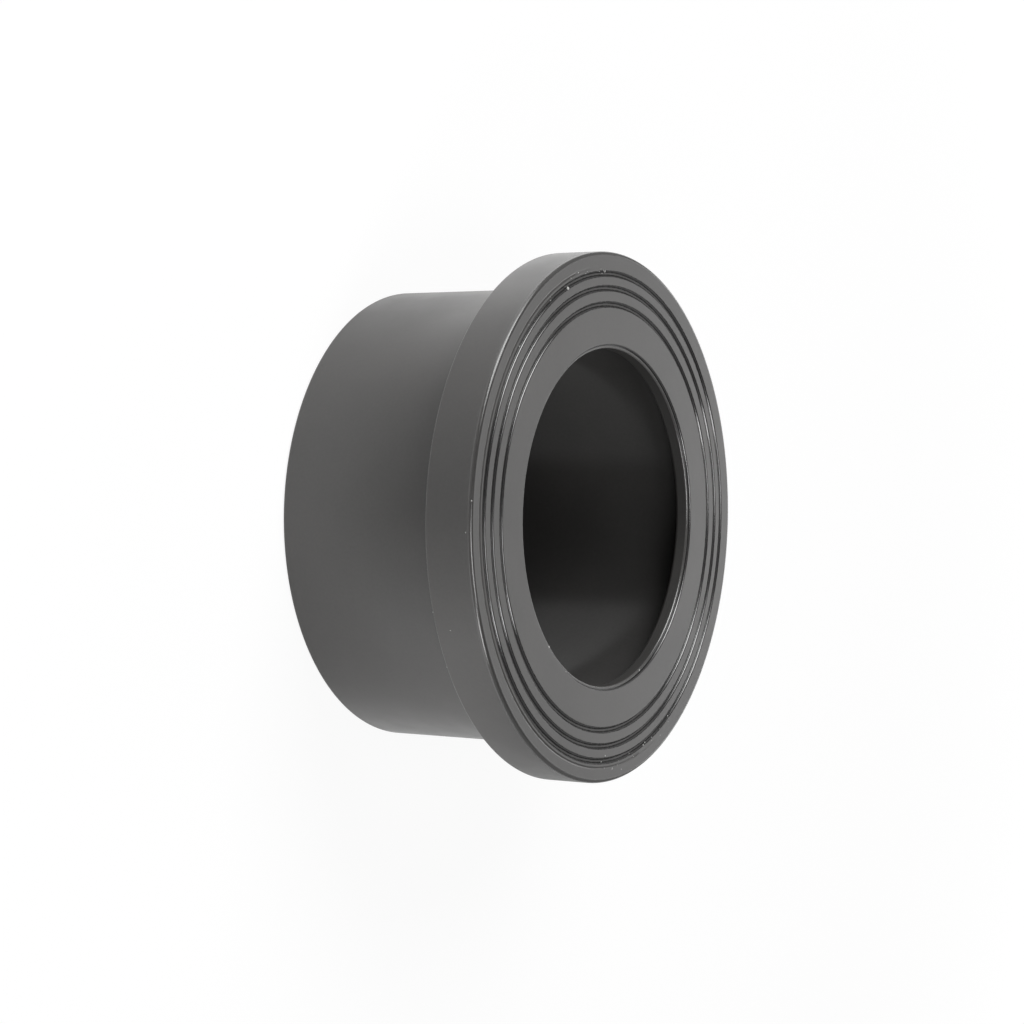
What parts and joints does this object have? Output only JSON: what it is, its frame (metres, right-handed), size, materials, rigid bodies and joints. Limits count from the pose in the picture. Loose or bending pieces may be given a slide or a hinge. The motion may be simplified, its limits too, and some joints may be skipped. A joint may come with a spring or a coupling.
{
  "type": "lap joint stub end",
  "caption": "Short plastic pipe collar: a plain hub with a cement socket, ending in a wide flat collar with concentric gasket grooves for a loose backing flange.",
  "frame": {"origin": "centre of the socket's mouth, in the plane that the fitting stands on", "axes": "+Z along the pipe's axis, from the socket's mouth to the gasket face; the fitting is round about Z"},
  "size_m": [0.125, 0.125, 0.0562],
  "materials": {
    "stub_end": "semi-matt moulded dark grey rigid PVC"
  },
  "bodies": {
    "root": {"stub_end": "stub_end"}
  },
  "joints": []
}
